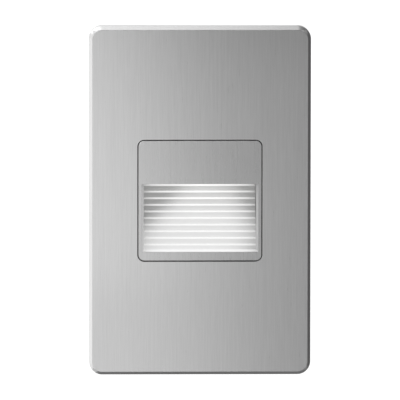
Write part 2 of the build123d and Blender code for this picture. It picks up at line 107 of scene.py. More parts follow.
# %% [markdown]
# ## From rings to a mesh
# The faces are an index pattern, the same for every stack. A face's area vector is half the cross
# product of its diagonals. Summed over all faces against their centres it gives the volume, and a
# negative volume says that the faces look inwards and must be turned round. Summed at each point it
# gives a normal in which the broad flat faces outweigh the narrow curves beside them, so flat metal
# stays flat in the light. Blender can recalculate and weight normals too, but here they are settled
# before the mesh exists.


# %% Areas, and the way that faces look
def area_vectors(points, quads):
    """Half the cross product of a face's diagonals: its direction, as long as its area."""
    corner = points[quads]
    return np.cross(corner[:, 2] - corner[:, 0], corner[:, 3] - corner[:, 1]) / 2


def cap_area(ring):
    """Area vector of a flat end: half the sum of each point, from their mean, crossed with the next."""
    arms = ring - ring.mean(0)
    return np.cross(arms, np.roll(arms, -1, axis=0)).sum(0) / 2


def outward(points, quads, caps):
    """The same skin, turned so that its volume, the sum of area vectors times distances, is positive."""
    middle = points.mean(0)
    volume = ((points[quads].mean(1) - middle) * area_vectors(points, quads)).sum()
    volume += sum(((points[cap].mean(0) - middle) * cap_area(points[cap])).sum() for cap in caps)
    if volume < 0:
        quads, caps = quads[:, ::-1], [cap[::-1] for cap in caps]
    return points, quads, caps


print("the tile's larger end measures", np.linalg.norm(cap_area(tile[0])).round(1), "square millimetres")


# %% Join rings into closed skins
def ring_skin(rings, loop=False):
    """Points and faces of a stack of rings: a face joins two neighbours to the same two on the next ring.

    The last ring of a loop is joined to the first. Any other stack is closed by one face at each end.
    """
    count, around = rings.shape[:2]
    index = np.arange(count * around).reshape(count, around)
    if loop:
        index = np.vstack([index, index[:1]])
    beside = np.roll(index, -1, axis=1)
    quads = np.stack([index[:-1], beside[:-1], beside[1:], index[1:]], -1).reshape(-1, 4)
    caps = [] if loop else [index[0][::-1], index[-1]]
    return outward(rings.reshape(-1, 3), quads, caps)


_, tile_sides, tile_ends = ring_skin(tile)
print("the tile has", len(tile_sides), "side faces and", len(tile_ends), "ends")


# %% Smooth normals
def smooth_normals(points, quads, caps):
    """Normal at each point: the sum of the area vectors of the faces that meet there, at length 1."""
    normals = np.zeros_like(points)
    area = area_vectors(points, quads)
    for corner in range(4):
        np.add.at(normals, quads[:, corner], area)
    for cap in caps:
        normals[cap] += cap_area(points[cap])
    return normals / np.maximum(np.linalg.norm(normals, axis=1, keepdims=True), 1e-12)


print("the tile's first normal is", smooth_normals(*ring_skin(tile))[0].round(2))


# %% Put skins into one mesh
def make_piece(name, skins, body, slot, node):
    """One mesh from several skins, riding on a body and standing for a CAD node."""
    starts = np.cumsum([0] + [len(points) for points, _, _ in skins])
    points = np.vstack([points for points, _, _ in skins])
    quads = np.vstack([quads + start for (_, quads, _), start in zip(skins, starts)])
    caps = [cap + start for (_, _, caps), start in zip(skins, starts) for cap in caps]
    mesh = bpy.data.meshes.new(name)
    mesh.from_pydata((points * mm).tolist(), [], quads.tolist() + [cap.tolist() for cap in caps])
    mesh.polygons.foreach_set("use_smooth", np.ones(len(mesh.polygons), bool))
    mesh.normals_split_custom_set_from_vertices(smooth_normals(points, quads, caps).tolist())
    mesh.update()
    piece = bpy.data.objects.new(name, mesh)
    scene.collection.objects.link(piece)
    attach(piece, body)
    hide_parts(node)
    mesh.materials.append(None)
    slot_of[name] = slot
    pieces[name] = piece
    print(name, len(mesh.vertices), "points,", len(mesh.polygons), "faces")


pieces = {}
slot_of = {name: node.material_slots[0].material.name for name, node in nodes.items()}
print(len(set(slot_of.values())), "material slots on", len(slot_of), "nodes")

# %% [markdown]
# ## Face plate
# The cover is a shallow tray of cast aluminium: a front sheet with a bevel all round, side walls that
# reach back to the wall, and a window for the lamp's bezel. A box with its window cut out by a Boolean
# would come close, but its edges would be hard. Here the profile runs from the front face over the
# bevel and the side to the rim, into the tray, and back out through the window, so the stack of rings
# closes on itself. The bevel is a little wider along the top, so the upper half of its rings is drawn
# down. The four posts that snap into spring clips are turned shapes on the tray's floor.


# %% Plate sizes
def box_of(node):
    """Lowest and highest corner of a node, in millimetres."""
    return np.array(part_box(node)) / mm


plate_low, plate_high = box_of("face_plate")
plate_width, _, plate_height = plate_high - plate_low
front, rim = plate_low[1], plate_high[1]
plate_corner, sheet_thickness, rim_width = 4.5, 1.6, 2.5
bevel_width, bevel_depth, top_bevel_extra = 1.05, 1.2, 0.35
bezel_width, bezel_height, bezel_corner, bezel_gap = 42.3, 41.35, 2.0, 0.35
window_width, window_height = bezel_width + 2 * bezel_gap, bezel_height + 2 * bezel_gap
tray_floor = front + sheet_thickness
print("plate", plate_width.round(2), "by", plate_height.round(2), "mm")
print("window", round(window_width, 2), "by", round(window_height, 2), "mm")

# %% Plate tray
face_margin, floor_margin, window_margin = 2.5, 1.8, 2.0
outer_reach, window_reach = [0.14, 0.2, 0.25, 0.15, 0.6], [0.1, 0.05]
outer = softened([(bevel_width + face_margin, front), (bevel_width, front), (0, front + bevel_depth),
                  (0, rim), (rim_width, rim), (rim_width, tray_floor),
                  (rim_width + floor_margin, tray_floor)], outer_reach)
inner = softened([(-window_margin, tray_floor), (0, tray_floor), (0, front), (-window_margin, front)],
                 window_reach)
outer_rings = outline_rings((plate_width, plate_height, plate_corner), outer)
bevelled = np.clip((front + bevel_depth - outer[:, 1, None]) / bevel_depth, 0, 1)
outer_rings[..., 2] -= top_bevel_extra * bevelled * (outer_rings[..., 2] > 0)
window_rings = outline_rings((window_width, window_height, bezel_corner + bezel_gap), inner)
tray = ring_skin(np.concatenate([outer_rings, window_rings]), loop=True)
print("the tray closes over", len(outer_rings), "outer rings and", len(window_rings), "in the window")


# %% Posts, turned
def lathe(profile, x, z, around=40):
    """Surface of revolution about Y: a profile point (r, y) becomes (x + r cos t, y, z + r sin t)."""
    turn = np.linspace(0, 2 * np.pi, around, endpoint=False)[None]
    r, y = profile[:, :1], profile[:, 1:]
    return np.stack([x + r * np.cos(turn), y + 0 * turn, z + r * np.sin(turn)], -1)


post_radius, post_x, post_z, post_end = 2.0, 28.6, 50.65, -2.1
post_root = front + sheet_thickness / 2
foot_radius, foot_height, tip_bevel, root_cap, tip_cap = 2.8, 0.7, 0.5, 1.0, 0.4
post = softened([(root_cap, post_root), (foot_radius, post_root), (foot_radius, tray_floor),
                 (post_radius, tray_floor + foot_height), (post_radius, post_end - tip_bevel),
                 (post_radius - tip_bevel, post_end), (tip_cap, post_end)], [0.1, 0.2, 0.3, 0.15, 0.15])
posts = [ring_skin(lathe(post, x, z)) for x in (-post_x, post_x) for z in (-post_z, post_z)]
make_piece("face_plate_skin", [tray, *posts], "cover", "brushed_aluminium", "face_plate")

# %% [markdown]
# ## Foam gaskets
# A foam strip seals the plate against the wall, and another lies behind the window. A plain extruded
# frame would look hard. Pressed foam bulges in the middle of its thickness, so each strip's profile
# swells a little between its two flat faces.


# %% Foam strips
def foam_strip(name, size, strip_width, near, far, body, node):
    """Closed ring of foam: halfway through its thickness, each side swells by a share of that thickness."""
    swell_share, seam, edge_reach, swell_reach = 0.12, 0.35, 0.2, 0.3
    swell = swell_share * (far - near)
    middle = (near + far) / 2
    side = [(seam, near), (0.0, near), (-swell, middle), (0.0, far), (strip_width, far),
            (strip_width + swell, middle), (strip_width, near), (strip_width - seam, near)]
    profile = softened(side, 2 * [edge_reach, swell_reach, edge_reach])
    make_piece(name, [ring_skin(outline_rings(size, profile), loop=True)], body, "black_foam", node)


wall, gasket_inset = 0.0, 0.3
gasket_size = (plate_width - 2 * gasket_inset, plate_height - 2 * gasket_inset, plate_corner - gasket_inset)
foam_strip("wall_gasket_foam", gasket_size, rim_width - 2 * gasket_inset, rim, wall, "cover", "wall_gasket")
seal_width, seal_margin = 1.6, 1.7
seal_low, seal_high = box_of("bezel_seal")
seal_size = (*(seal_high - seal_low)[[0, 2]], bezel_corner + seal_margin)
foam_strip("bezel_seal_foam", seal_size, seal_width, seal_low[1], seal_high[1], "light", "bezel_seal")

# %% [markdown]
# ## Stepped reflector
# Below the brow, ten white steps climb away from the sill and carry the lamps' light out to the room.
# Ten boxes in a row would leave gaps and hidden faces. A moulding like this has one profile along its
# whole width, so the profile is written once, with soft noses and soft inner corners, and carried
# along X.

# %% Profile of the steps
reflector_low, reflector_high = box_of("step_reflector")
step_count, tread_depth, tread_rise, step_pitch, step_base = 10, 1.1, 0.45, 2.188, -17.775
nose_reach, root_reach, back_reach = 0.15, 0.12, 0.3
seam_start, seam_end = 0.0, 0.5
step = np.arange(1, step_count + 1)
nose = np.stack([reflector_low[1] + (step - 1) * tread_depth, step_base + step * step_pitch], -1)
root = nose + (tread_depth, tread_rise)
stairs = np.stack([nose, root], 1).reshape(-1, 2)
start = [(seam_start, reflector_low[2]), (reflector_low[1], reflector_low[2])]
end = [(root[-1, 0], reflector_high[2]), (reflector_high[1], reflector_high[2]),
       (reflector_high[1], reflector_low[2]), (seam_end, reflector_low[2])]
step_reach = [back_reach, *([nose_reach, root_reach] * step_count), back_reach, back_reach, back_reach]
step_profile = softened(np.vstack([start, stairs, end]), step_reach, 6)
print(step_count, "steps in a profile of", len(step_profile), "points")


# %% Steps along the opening
def carried_along_x(profile, low, high, edge=0.15):
    """Closed profile (y, z) at four places in X, with the end ones drawn in for a soft end edge."""
    middle = profile.mean(0)
    x = np.array([low, low + edge, high - edge, high])
    shrink = 1 - np.array([edge, 0, 0, edge]) / np.ptp(profile, axis=0).max()
    yz = middle + (profile - middle)[None] * shrink[:, None, None]
    return np.concatenate([np.broadcast_to(x[:, None, None], (*yz.shape[:2], 1)), yz], -1)


steps = ring_skin(carried_along_x(step_profile, reflector_low[0], reflector_high[0]))
make_piece("step_reflector_moulding", [steps], "light", "white_reflector", "step_reflector")

# %% [markdown]
# ## Screws
# Machine screws hold the mounting plate on the box, the housing on the mounting plate and the cover on
# the housing, and a green one is the earth terminal. A screw could be a head and a shank pushed into
# each other, but then hidden faces stay inside. Here each screw is one stack of rings, from the floor
# of its cross over the crown and the shoulder, along the thread to the tip. The cross has straight
# walls, so the rings' angles are chosen to have a point at each of its corners.


# %% Cross in a screw head
def cross_turns(arm, half_width, each=4):
    """Angles round a screw, with one at each corner of its cross.

    An arm's corners lie at atan(half_width / arm) from its axis, and two arms meet at 45 degrees.
    """
    tip = np.arctan2(half_width, arm)
    marks = np.array([0, tip, np.pi / 4, np.pi / 2 - tip, np.pi / 2])
    quarter = (marks[:-1, None] + np.diff(marks)[:, None] * np.arange(each) / each).ravel()
    return (quarter[None] + np.arange(4)[:, None] * np.pi / 2).ravel()


def cross_outline(turn, arm, half_width):
    """Distance from the middle to the edge of a cross: the farther of its lying and its standing bar."""
    along, beside = np.maximum(np.abs([np.cos(turn), np.sin(turn)]), 1e-9)
    lying_bar = np.minimum(arm / along, half_width / beside)
    standing_bar = np.minimum(half_width / along, arm / beside)
    return np.maximum(lying_bar, standing_bar)


cross_arm, cross_half_width = 0.30, 0.075
turns = cross_turns(cross_arm, cross_half_width)
cross = cross_outline(turns, cross_arm, cross_half_width)[None]
print("rings of", len(turns), "points; the cross spans", 2 * cross.max().round(3), "of a head")


# %% Head as rings
def column(*shares):
    """Shares as a column, one for each ring."""
    return np.array(shares)[:, None]


wall_share = column(0.04, 0.62, 0.66, 0.97, 1.0)
wall_depth = column(-0.40, -0.42, -0.46, -0.97, -1.0)
crown_share = column(0.35, 0.7)
crown_edge, shoulder, shoulder_reach, seat_reach = 0.34, 0.84, 0.4, 0.08


def head_rings(head, height, stem):
    """Radius and depth of a head's rings: the cross's floor and walls, the crown, shoulder and seat.

    Walls follow the cross. On the crown, the cross's outline turns into the round edge by shares.
    """
    side = softened([(crown_edge * head, -height), (head / 2, -shoulder * height), (head / 2, 0),
                     (stem, 0)], [shoulder_reach * height, seat_reach * height], 7)
    crown = (1 - crown_share) * cross * head + crown_share * side[0, 0]
    radius = np.vstack([wall_share * cross * head, crown, side[:, :1] + 0 * cross])
    return radius, np.vstack([wall_depth * height, 0 * crown_share - height, side[:, 1:]])


print("a head takes", len(head_rings(6.0, 2.0, 1.5)[0]), "rings")

# %% Thread as rings
thread_share, thread_start, flank_slope, root_flat = 0.54, 0.02, 1.25, 0.1
tip_drop, tip_length = 0.175, 0.3


def thread_rings(begin, finish, shank, pitch, rows=9):
    """Thread: r = root + depth * wave(along / pitch - t / 2 pi), run out at both ends, with a drawn-in tip.

    The wave goes evenly from 0 to 1 and back, with a flat cut from its root and its crest.
    """
    deep, length = thread_share * pitch, finish - begin
    along = np.linspace(0, length, int(length / pitch * rows))[:, None]
    wave = np.abs((along / pitch - turns / (2 * np.pi)) % 1 * 2 - 1)
    run_out = np.clip(np.minimum(along, length - along) / pitch, 0, 1)
    radius = shank / 2 - deep + deep * np.clip(flank_slope * wave - root_flat, 0, 1) * run_out
    tip = shank / 2 - tip_drop * shank * np.clip(1 - (length - along) / (tip_length * shank), 0, 1)
    return np.minimum(radius, tip), begin + along


print("10 mm of fine thread take", len(thread_rings(0, 10.0, 3.0, 0.5)[0]), "rings")


# %% A whole screw
def screw(x, z, seat, way, head, height, shank, length, pitch, neck=0.0, neck_length=0.0):
    """One closed skin: a ring's points are (x + r cos t, seat + way * depth, z + r sin t)."""
    stem = neck / 2 or shank / 2 - thread_share * pitch
    head_radius, head_depth = head_rings(head, height, stem)
    neck_radius = np.full((int(neck_length > 0), len(turns)), stem)
    thread_radius, thread_depth = thread_rings(neck_length + thread_start, length, shank, pitch)
    radius = np.vstack([head_radius, neck_radius, thread_radius])
    depth = np.vstack([head_depth, np.full((len(neck_radius), 1), neck_length), thread_depth])
    rings = [x + radius * np.cos(turns), seat + way * depth + 0 * radius, z + radius * np.sin(turns)]
    return ring_skin(np.stack(rings, -1))


def screws(name, node, slot, places, **sizes):
    """One piece for a set of equal screws."""
    make_piece(name, [screw(x, z, **sizes) for x, z in places], "light", slot, node)


def corners_of(node, head):
    """Places of four equal screws: the corners of their node's box, half a head inside it."""
    low, high = box_of(node)
    across, up = np.array([low + head / 2, high - head / 2]).T[[0, 2]]
    return [(x, z) for x in across for z in up]


box_head, housing_head, cover_head = 6.8, 5.6, 4.4
print("screws on the housing at", np.round(corners_of("engine_screws", housing_head), 2).tolist())

# %% Sets of screws
sheet_front, sheet_back = box_of("mounting_plate")[:, 1]
ear_back, cover_back = 3.0, box_of("rear_cover")[1, 1]
box_screw_z = box_of("mounting_screws")[1, 2] - box_head / 2
screws("box_screws", "mounting_screws", "zinc_screws", [(0, box_screw_z), (0, -box_screw_z)],
       seat=sheet_front, way=1, head=box_head, height=2.1, shank=3.5, length=25.2, pitch=0.794,
       neck=2.8, neck_length=2.3)
screws("housing_screws", "engine_screws", "zinc_screws", corners_of("engine_screws", housing_head),
       seat=ear_back, way=-1, head=housing_head, height=2.2, shank=3.0, length=6.45, pitch=0.5)
screws("cover_plate_screws", "cover_screws", "zinc_screws", corners_of("cover_screws", cover_head),
       seat=cover_back, way=-1, head=cover_head, height=1.6, shank=2.4, length=6.0, pitch=0.45)
screws("earth_screw", "ground_screw", "green_screw", [box_of("ground_screw").mean(0)[[0, 2]]],
       seat=sheet_back, way=-1, head=7.2, height=2.2, shank=4.0, length=3.0, pitch=0.7)

# %% [markdown]
# ## Building materials from nodes
# Every finish is a Principled shader whose colour, roughness and relief come from patterns. The nodes
# could be wired by hand in the Shader Editor, but a few helpers make each finish a handful of lines
# that can be read and changed. The patterns read Object coordinates, which here are metres in the
# model's frame, so a grain of a tenth of a millimetre is written as exactly that.


# %% Add and wire nodes
def feed(tree, made, **sockets):
    """Set or link a node's inputs: Base_Color means "Base Color", and _1 means the second input."""
    for name, value in sockets.items():
        socket = made.inputs[int(name[1:]) if name[1:].isdigit() else name.replace("_", " ")]
        if isinstance(value, bpy.types.NodeSocket):
            tree.links.new(value, socket)
        else:
            socket.default_value = value


def put(tree, kind, settings=None, **sockets):
    """Add one node. A socket's value is linked if it comes from another node, and set otherwise."""
    made = tree.nodes.new("ShaderNode" + kind)
    for name, value in (settings or {}).items():
        setattr(made, name, value)
    feed(tree, made, **sockets)
    return made


def calc(tree, operation, *values):
    """Result of one Math node."""
    sockets = {f"_{place}": value for place, value in enumerate(values)}
    return put(tree, "Math", {"operation": operation}, **sockets).outputs[0]


def new_finish(name):
    """Empty node material, its tree and its Principled shader."""
    material = bpy.data.materials.new(name)
    material.use_nodes = True
    return material, material.node_tree, material.node_tree.nodes["Principled BSDF"]


print("helpers for nodes:", [helper.__name__ for helper in (feed, put, calc, new_finish)])


# %% Patterns in millimetres
def stretched(tree, size_mm):
    """Object coordinates in units of a grain's size, which is one number or differs along X, Y and Z."""
    scale = tuple(1 / (mm * size) for size in np.broadcast_to(size_mm, 3).tolist())
    place = put(tree, "TexCoord").outputs["Object"]
    return put(tree, "VectorMath", {"operation": "MULTIPLY"}, _0=place, _1=scale).outputs[0]


def millimetres(tree):
    """X, Y and Z of the surface, in millimetres."""
    return put(tree, "SeparateXYZ", Vector=stretched(tree, 1.0)).outputs


def noise(tree, size_mm, detail=2.0):
    """Soft noise from 0 to 1 with grains of the given size."""
    return put(tree, "TexNoise", Vector=stretched(tree, size_mm), Scale=1.0, Detail=detail).outputs["Fac"]


def cells(tree, size_mm, distance="EUCLIDEAN"):
    """Irregular cells of the given size, with the distance from a cell's middle and a colour for each."""
    place = stretched(tree, size_mm)
    return put(tree, "TexVoronoi", {"distance": distance}, Vector=place, Scale=1.0).outputs


print("a grain of 0.1 mm repeats", round(1 / (0.1 * mm)), "times in a metre")


# %% Mixing, mapping and relief
def grey(level):
    """Colour of three equal parts."""
    return (level, level, level)


def between(tree, factor, low, high):
    """Colour that goes from low to high with the factor; each may be a colour or another node's colour."""
    ends = [end if isinstance(end, bpy.types.NodeSocket) else (*end, 1) for end in (low, high)]
    return put(tree, "Mix", {"data_type": "RGBA"}, _0=factor, _6=ends[0], _7=ends[1]).outputs[2]


def span(tree, value, low, high, start=0.0, stop=1.0):
    """Value mapped from start..stop to low..high and held at its ends."""
    ends = {"From_Min": start, "From_Max": stop, "To_Min": low, "To_Max": high}
    return put(tree, "MapRange", Value=value, **ends).outputs[0]


def relief(tree, height, depth_mm, strength):
    """Normal of a surface whose relief is depth_mm deep."""
    return put(tree, "Bump", Height=height, Distance=depth_mm * mm, Strength=strength).outputs[0]


def normal_of(tree):
    """Direction in which the surface looks."""
    return put(tree, "NewGeometry").outputs["Normal"]


print("helpers for patterns:", [helper.__name__ for helper in (grey, between, span, relief, normal_of)])

# %% [markdown]
# ## The lamps' light on white surfaces
# Five small lamps behind the brow throw a pool of light down the steps. On the upright risers the pool
# is narrow under the brow and wider towards the sill. The treads look up into the lamps, so they are
# bright over nearly their whole width. Lamps could be placed behind the lens, but the light would then
# be lost in an exported model. Written as a pattern of emission, it belongs to the surface and shows
# under any light.

# %% Sizes of the pool
brow_edge, opening_height = 5.8, 23.0
pool_middle, pool_power = (3.8, -2.0), 5.0
pool_width, widest_below = (8.4, 20.0), 18.0
pool_level, brightest_below = (0.10, 0.42), 12.0
tread_reach, tread_power, tread_level, tread_share = (18.9, 20.2), 11.0, 0.48, 0.2
upward_slope = (0.15, 0.8)
print("the pool widens from", pool_width[0], "to", pool_width[1], "mm to each side")


# %% Pool of light
def fall_off(tree, distance, reach, power):
    """Bell with a flat top: exp(-|distance / reach|^power)."""
    share = calc(tree, "ABSOLUTE", calc(tree, "DIVIDE", distance, reach))
    return calc(tree, "EXPONENT", calc(tree, "MULTIPLY", calc(tree, "POWER", share, power), -1.0))


def lamp_pool(tree, share=1.0, spill=0.0):
    """Light that a white surface gives back, from 0 to 1, at a depth d below the brow.

    The pool is level(d) * exp(-|(x - middle(d)) / width(d)|^5), where level, middle and width change
    evenly with d. An upright surface gives back a share of it and the spill. One that looks up gives
    back a fifth of it and tread_level * exp(-|x / reach(d)|^11). The slope mixes the two.
    """
    x, _, z = millimetres(tree)
    down = calc(tree, "SUBTRACT", brow_edge, z)
    middle = span(tree, down, *pool_middle, 0, opening_height)
    width = span(tree, down, *pool_width, 0, widest_below)
    bell = fall_off(tree, calc(tree, "SUBTRACT", x, middle), width, pool_power)
    pool = calc(tree, "MULTIPLY", span(tree, down, *pool_level, 0, brightest_below), bell)
    wide_bell = fall_off(tree, x, span(tree, down, *tread_reach, 0, opening_height), tread_power)
    lift = calc(tree, "MULTIPLY", wide_bell, tread_level)
    upright = calc(tree, "MULTIPLY_ADD", pool, share, spill)
    looking_up = calc(tree, "MULTIPLY_ADD", pool, tread_share, lift)
    normal_z = put(tree, "SeparateXYZ", Vector=normal_of(tree)).outputs[2]
    upward = span(tree, normal_z, 0.0, 1.0, *upward_slope)
    return calc(tree, "MULTIPLY_ADD", upward, calc(tree, "SUBTRACT", looking_up, upright), upright)


print("on the treads the light reaches", tread_reach[0], "to", tread_reach[1], "mm to each side")

# %% [markdown]
# ## Brushed aluminium
# The face is brushed upright: fine scratches run along Z, so light spreads across them, along X. A
# photo of brushed metal could be used, but it would hold its own light. Two layers of noise drawn out
# along Z make the scratches and the broader streaks instead, and an anisotropic shader spreads the
# gloss. Its tangent is the normal crossed with Z. The brush reaches only the front and the bevels; the
# walls of the gap keep a dull cast skin, whose grey is also a painted tone set for the shaded gap, and
# the inside of the light opening is painted white.

# %% Where the metal is cast, with a painted tone for the shaded gap, or painted white
brush_margin_x, brush_margin_z = 0.15, 0.05
face_x = plate_width / 2 - bevel_width - brush_margin_x
face_z = plate_height / 2 - bevel_width - top_bevel_extra - brush_margin_z
opening_x, opening_z = 20.2, 17.8
# Behind the first depths the gap walls take the cast grey, which is also a painted tone for the shaded gap.
cast_and_painted_gap_begins, paint_begins = (front + 0.04, front + 0.08), (front + 0.22, front + 0.30)
print("brushed beyond", face_x.round(2), "and", face_z.round(2), "mm at any depth")


def set_back(tree, begins, half_width, half_height):
    """1 behind a depth and inside an upright rectangle about the middle, and 0 elsewhere."""
    x, y, z = millimetres(tree)
    inside_x = calc(tree, "LESS_THAN", calc(tree, "ABSOLUTE", x), half_width)
    inside_z = calc(tree, "LESS_THAN", calc(tree, "ABSOLUTE", z), half_height)
    inside = calc(tree, "MINIMUM", inside_x, inside_z)
    return calc(tree, "MULTIPLY", span(tree, y, 0, 1, *begins), inside)


# %% Light on the paint
spill_levels, spill_half_width, spill_share = (0.13, 0.05), 20.0, 0.15
spill_ends = (front + 1.8, front + 2.4)
print("the spill falls from", spill_levels[0], "at the left to", spill_levels[1], "at the right")


def painted_glow(tree):
    """Lamp light on the painted walls: a share of the pool, and a spill that fades rightwards and back."""
    x, y, _ = millimetres(tree)
    across = span(tree, x, *spill_levels, -spill_half_width, spill_half_width)
    spill = calc(tree, "MULTIPLY", across, span(tree, y, 1, 0, *spill_ends))
    return lamp_pool(tree, spill_share, spill)


# %% Brushed face
hair_mm, streak_mm, hair_share, metal_swing = (0.12, 0.12, 7.0), (0.7, 0.7, 45.0), 0.65, 0.16
# The cast grey of the gap walls is a cast skin and a painted tone that sets how the shaded gap looks.
cast_mm, cast_and_painted_gap_tone, cast_swing, cast_rough, paint_tone = 0.4, 0.75, 0.2, 0.6, 0.73
gloss_swing, gloss_spread, hair_depth, hair_strength = 0.05, 0.8, 0.002, 0.3


def two_tones(tree, factor, tone, swing):
    """Grey that swings about a tone, from tone * (1 - swing) to tone * (1 + swing)."""
    return between(tree, factor, grey(tone * (1 - swing)), grey(tone * (1 + swing)))


def brushed_finish(name, tone, rough):
    """Brushed metal on the front and bevels; behind, cast skin with a painted tone for the shaded gap;
    white paint in the opening.
    """
    material, tree, shader = new_finish(name)
    hair = noise(tree, hair_mm, 3.0)
    streak = calc(tree, "MULTIPLY", noise(tree, streak_mm), 1 - hair_share)
    metal = two_tones(tree, calc(tree, "MULTIPLY_ADD", hair, hair_share, streak), tone, metal_swing)
    # Grey of the gap walls: a cast skin, and a painted tone for the shaded gap.
    cast_and_painted_gap_grey = two_tones(tree, noise(tree, cast_mm), cast_and_painted_gap_tone, cast_swing)
    cast_and_painted_gap_mask = set_back(tree, cast_and_painted_gap_begins, face_x, face_z)
    painted = set_back(tree, paint_begins, opening_x, opening_z)
    skin = between(tree, painted, between(tree, cast_and_painted_gap_mask, metal, cast_and_painted_gap_grey), grey(paint_tone))
    gloss = span(tree, hair, rough - gloss_swing, rough + gloss_swing)
    gloss = calc(tree, "MAXIMUM", gloss, calc(tree, "MULTIPLY", cast_and_painted_gap_mask, cast_rough))
    tangent = put(tree, "VectorMath", {"operation": "CROSS_PRODUCT"}, _0=normal_of(tree), _1=(0, 0, 1))
    feed(tree, shader, Base_Color=skin, Metallic=calc(tree, "SUBTRACT", 1.0, painted), Roughness=gloss,
         Anisotropic=gloss_spread, Tangent=tangent.outputs[0], Emission_Strength=1.0,
         Emission_Color=calc(tree, "MULTIPLY", painted, painted_glow(tree)),
         Normal=relief(tree, hair, hair_depth, hair_strength))
    print(name, "has", len(tree.nodes), "nodes")
    return material


finishes = {}
finishes["brushed_aluminium"] = brushed_finish("brushed_plate", 0.67, 0.30)
finishes["brushed_bezel"] = brushed_finish("brushed_bezel", 0.615, 0.29)
slot_of["lamp_body"] = "brushed_bezel"

# %% [markdown]
# ## White moulding and frosted lens
# The steps are a satin white moulding, with the lamps' pool of light on it. The lens above them is
# frosted, so the five lamps blur into one bright bar. A see-through lens would show the lamps one by
# one, and it would be slow to render. A glow on its surface, a bell along X and along Y on top of a
# fine frost, gives what the eye sees.

# %% Reflector
material, tree, shader = new_finish("satin_white_moulding")
satin, cloud = noise(tree, 0.12, 3.0), noise(tree, 5.0)
feed(tree, shader, Base_Color=between(tree, cloud, (0.70, 0.70, 0.695), (0.76, 0.76, 0.755)),
     Roughness=span(tree, satin, 0.42, 0.58), Normal=relief(tree, satin, 0.01, 0.4),
     Emission_Color=lamp_pool(tree), Emission_Strength=1.0)
finishes["white_reflector"] = material
print(material.name, "has", len(tree.nodes), "nodes")

# %% Lens
material, tree, shader = new_finish("frosted_lens_glow")
glow_half_width, glow_half_depth, glow_middle, glow_edge, glow_strength = 10.0, 6.0, -2.0, 0.10, 0.65
x, y, _ = millimetres(tree)
along = calc(tree, "DIVIDE", x, glow_half_width)
deep = calc(tree, "DIVIDE", calc(tree, "SUBTRACT", y, glow_middle), glow_half_depth)
squares = calc(tree, "MULTIPLY_ADD", along, along, calc(tree, "MULTIPLY", deep, deep))
bell = calc(tree, "EXPONENT", calc(tree, "MULTIPLY", squares, -1.0))
frost = noise(tree, 0.15, 4.0)
feed(tree, shader, Base_Color=between(tree, frost, (0.80, 0.80, 0.79), (0.90, 0.90, 0.89)),
     Roughness=span(tree, frost, 0.45, 0.65), Normal=relief(tree, frost, 0.02, 0.5),
     Emission_Color=between(tree, bell, grey(glow_edge), (1.0, 1.0, 0.985)),
     Emission_Strength=glow_strength)
finishes["frosted_lens"] = material
print("the lens glows over", 2 * glow_half_width, "by", 2 * glow_half_depth, "mm")

# %% [markdown]
# ## Everyday finishes
# The other pieces share three habits: a colour that wanders slowly, a fine grain that changes the
# gloss, and a shallow relief. A material for each could be built from nothing, but one function takes
# those habits as sizes in millimetres, and each finish is one call.

# %% One function for many finishes
fine_share, noise_range, relief_strength = 0.4, (0.25, 0.75), 0.6


def everyday(slot, dark, light, rough, grain_mm, depth_mm, metallic=0.0, wander_mm=8.0, foam=False,
             specular=0.5):
    """Finish whose colour goes from dark to light with a share of its grain and the rest of a slow noise.

    The grain, which is cells on foam and noise elsewhere, sets the gloss and the relief too.
    """
    material, tree, shader = new_finish(slot + "_finish")
    fine = cells(tree, grain_mm)["Distance"] if foam else noise(tree, grain_mm, 3.0)
    slow = calc(tree, "MULTIPLY", noise(tree, wander_mm), 1 - fine_share)
    mixed = span(tree, calc(tree, "MULTIPLY_ADD", fine, fine_share, slow), 0, 1, *noise_range)
    feed(tree, shader, Base_Color=between(tree, mixed, dark, light), Metallic=metallic,
         Roughness=span(tree, fine, *rough, *noise_range), Specular_IOR_Level=specular,
         Normal=relief(tree, fine, depth_mm, relief_strength))
    finishes[slot] = material


everyday("black_foam", (0.008, 0.008, 0.009), (0.035, 0.035, 0.037), (0.85, 1.0), 0.35, 0.15,
         foam=True, specular=0.2)
everyday("grey_silicone", (0.26, 0.26, 0.27), (0.34, 0.34, 0.35), (0.45, 0.6), 0.2, 0.01)
everyday("black_rubber", (0.014, 0.014, 0.015), (0.03, 0.03, 0.031), (0.55, 0.75), 0.25, 0.02)
everyday("black_plastic", (0.018, 0.018, 0.019), (0.034, 0.034, 0.036), (0.38, 0.55), 0.22, 0.025)
print("finishes so far:", sorted(finishes))

# %% Metal pieces
everyday("spring_steel", (0.42, 0.41, 0.40), (0.56, 0.55, 0.53), (0.22, 0.36), (0.08, 0.08, 2.0), 0.003,
         metallic=1.0)
everyday("zinc_screws", (0.55, 0.56, 0.57), (0.72, 0.72, 0.70), (0.22, 0.40), 0.3, 0.004, 1.0, 2.0)
everyday("green_screw", (0.02, 0.16, 0.05), (0.05, 0.26, 0.09), (0.25, 0.40), 0.3, 0.004, 0.6, 2.0)
everyday("pin_gold", (0.60, 0.42, 0.12), (0.78, 0.58, 0.22), (0.18, 0.30), 0.2, 0.003, 1.0, 2.0)
print(len(finishes), "finishes with the metals")

